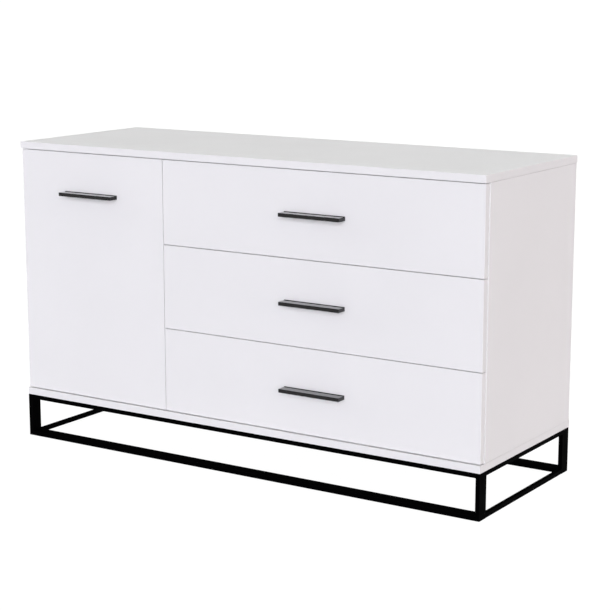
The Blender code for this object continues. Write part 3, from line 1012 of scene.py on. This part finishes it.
def drawer_side(number, side, way):
    """A foil-wrapped side board, grooved for the bottom; way points into the drawer.

    Returns the places of its cam fasteners and of its screws.
    """
    body = f"drawer_{number}"
    node = f"{body}_side_{side}"
    low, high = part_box(node)
    inner = high.x if way > 0 else low.x
    outer = low.x if way > 0 else high.x
    groove = inner - way * GROOVE_DEPTH
    outline = [
        (outer, low.z),
        (inner, low.z),
        (inner, low.z + GROOVE_LOW),
        (groove, low.z + GROOVE_LOW),
        (groove, low.z + GROOVE_HIGH),
        (inner, low.z + GROOVE_HIGH),
        (inner, high.z),
        (outer, high.z),
    ]
    obj = prism(f"{body}_{side}_side_board", outline, "Y", low.y, high.y)
    bevelled(obj, DRAWER_EDGE, 3)
    settle(paint(obj, M_FOIL), body, "drawer_board", node)
    front_y = low.y + CAM_FROM_FRONT
    back_y = high.y - (high.x - low.x) / 2
    cams = [((inner, front_y, low.z + z), (way, 0, 0)) for z in CAM_HEIGHTS]
    screws = [((outer, back_y, low.z + z), (-way, 0, 0)) for z in BACK_SCREW_HEIGHTS]
    return cams, screws


def drawer(number, kit):
    """A drawer's front with its pull, its box and the fixings that show."""
    body = f"drawer_{number}"
    board(f"{body}_front", f"{body}_front_board")
    pull(f"{body}_handle")
    pull_screws(kit, f"{body}_front", f"{body}_handle", body)
    cams = []
    screws = []
    for side, way in (("left", 1), ("right", -1)):
        side_cams, side_screws = drawer_side(number, side, way)
        cams += side_cams
        screws += side_screws
    stamped(f"{body}_cams", kit["cam"], cams, body, "zinc_hardware")
    stamped(f"{body}_back_screws", kit["screw"], screws, body, "zinc_hardware")
    low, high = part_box(f"{body}_back")
    back = bevelled(box(f"{body}_back_board", low, high), DRAWER_EDGE, 3)
    settle(paint(back, M_FOIL), body, "drawer_board", f"{body}_back")
    low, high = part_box(f"{body}_bottom")
    bottom = bevelled(box(f"{body}_bottom_sheet", low, high), SHEET_EDGE, 2)
    settle(paint(bottom, M_HARDBOARD), body, "white_hardboard", f"{body}_bottom")


def slide_channel(node, opens, slots):
    """A rolled channel that opens to +X (1) or -X (-1), with slots at these shares of its length.

    Returns where the screws sit in the slots.
    """
    low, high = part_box(node)
    sheet = SLIDE_SHEET
    web = low.x if opens > 0 else high.x
    deep = high.x - low.x
    tall = high.z - low.z
    bend = SLIDE_BEND
    inner = bend - sheet
    outline = arc((bend, bend), bend, 180, 270, 4)
    outline += [(deep, 0), (deep, sheet)]
    outline += arc((bend, bend), inner, 270, 180, 4)
    outline += arc((bend, tall - bend), inner, 180, 90, 4)
    outline += [(deep, tall - sheet), (deep, tall)]
    outline += arc((bend, tall - bend), bend, 90, 180, 4)
    placed = [(web + opens * s, low.z + h) for s, h in outline]
    obj = prism(node + "_piece", placed, "Y", low.y, high.y)
    z = (low.z + high.z) / 2
    half_long, half_wide = SLOT_HALF
    spots = []
    for share in slots:
        y = low.y + share * (high.y - low.y)
        plate = rounded_plate((y - half_long, z - half_wide), (y + half_long, z + half_wide), SLOT_CORNER, 4)
        start, end = sorted((web - opens * OVERCUT, web + opens * (sheet + OVERCUT)))
        combine(obj, prism("slot", plate, "X", start, end), "DIFFERENCE")
        spots.append(((web + opens * sheet, y, z), (opens, 0, 0)))
    bevelled(obj, SLIDE_EDGE, 2, 60)
    settle(paint(smooth(applied(obj)), M_ZINC), BODY_OF[node], "zinc_hardware", node)
    return spots


def slides(kit):
    for number in (1, 2, 3):
        for side, opens in (("left", 1), ("right", -1)):
            name = f"slide_{number}_{side}"
            fixed = slide_channel(f"{name}_fixed", opens, FIXED_SLOTS)
            moving = slide_channel(f"{name}_moving", -opens, MOVING_SLOTS)
            stamped(f"{name}_fixed_screws", kit["screw"], fixed[::2], "carcass", "zinc_hardware")
            stamped(f"{name}_moving_screws", kit["screw"], moving[::2], f"drawer_{number}", "zinc_hardware")


# ---------------------------------------------------------------- studio


def sun(name, azimuth, elevation, spread, colour, strength, glossy):
    """A very distant soft box; glossy says whether reflections show it."""
    data = bpy.data.lights.new(name, "SUN")
    data.energy = strength
    data.color = colour
    data.angle = math.radians(spread)
    obj = bpy.data.objects.new(name, data)
    bpy.context.scene.collection.objects.link(obj)
    obj.rotation_euler = (math.radians(90 - elevation), 0, math.radians(azimuth))
    obj.visible_glossy = glossy


def backdrop_shell(radius):
    """A round paper wall far behind everything, so that every view ends in the same pale ground."""
    bm = bmesh.new()
    bmesh.ops.create_uvsphere(bm, u_segments=48, v_segments=24, radius=radius)
    return new_object("studio_backdrop", bm)


def studio():
    """Soft lamps, a little even light from all round, and a glowing paper floor and wall."""
    scene = bpy.context.scene
    scene.view_settings.view_transform = "Standard"
    scene.view_settings.look = "None"
    world = bpy.data.worlds.new("studio_air")
    scene.world = world
    world.use_nodes = True
    background = world.node_tree.nodes["Background"]
    background.inputs["Color"].default_value = (*WHITE, 1.0)
    background.inputs["Strength"].default_value = AIR
    for name, lamp in LAMPS.items():
        sun(name, *lamp)

    half = STUDIO_HALF
    floor = box("studio_floor", (-half, -half, -0.02), (half, half, 0.0))
    sheet = Shader("studio_paper", Roughness=0.9)
    cloud = sheet.ranged(sheet.noise(0.8, 3.0), 0.3, 0.7)
    sheet.colour(sheet.mixed(cloud, (0.05, 0.05, 0.05), (0.06, 0.06, 0.06)))
    sheet.bsdf.inputs["Emission Color"].default_value = (*WHITE, 1.0)
    sheet.bsdf.inputs["Emission Strength"].default_value = GLOW
    backdrop = backdrop_shell(half)
    for piece in (floor, backdrop):
        paint(piece, sheet.mat)
        piece.visible_diffuse = False
    backdrop.visible_glossy = False
    backdrop.visible_shadow = False


def camera():
    """The photograph's viewpoint."""
    data = bpy.data.cameras.new("photo_camera")
    data.lens = CAMERA_LENS
    data.sensor_width = CAMERA_SENSOR
    data.dof.use_dof = False
    data.clip_end = 500.0
    obj = bpy.data.objects.new("photo_camera", data)
    bpy.context.scene.collection.objects.link(obj)
    azimuth = math.radians(CAMERA_AZIMUTH)
    elevation = math.radians(CAMERA_ELEVATION)
    obj.location = CAMERA_PLACE
    obj.rotation_euler = (math.pi / 2 - elevation, 0, azimuth)
    bpy.context.scene.camera = obj


camera()
studio()
fixings = {
    "screw": cross_head("screw", *SCREW_HEAD),
    "bolt": cross_head("bolt", *BOLT_HEAD),
    "cam": cross_head("cam", *CAM_HEAD),
    "cap": cover_cap("cap"),
    "nail": nail_head("nail"),
}
cabinet_boards()
cabinet_fixings(fixings)
shelf_pins()
base_frame(fixings)
door_board()
pull("door_handle")
pull_screws(fixings, "door_panel", "door_handle", "door")
hinges(fixings)
for drawer_number in (1, 2, 3):
    drawer(drawer_number, fixings)
slides(fixings)
for pattern in fixings.values():
    bpy.data.objects.remove(pattern, do_unlink=True)
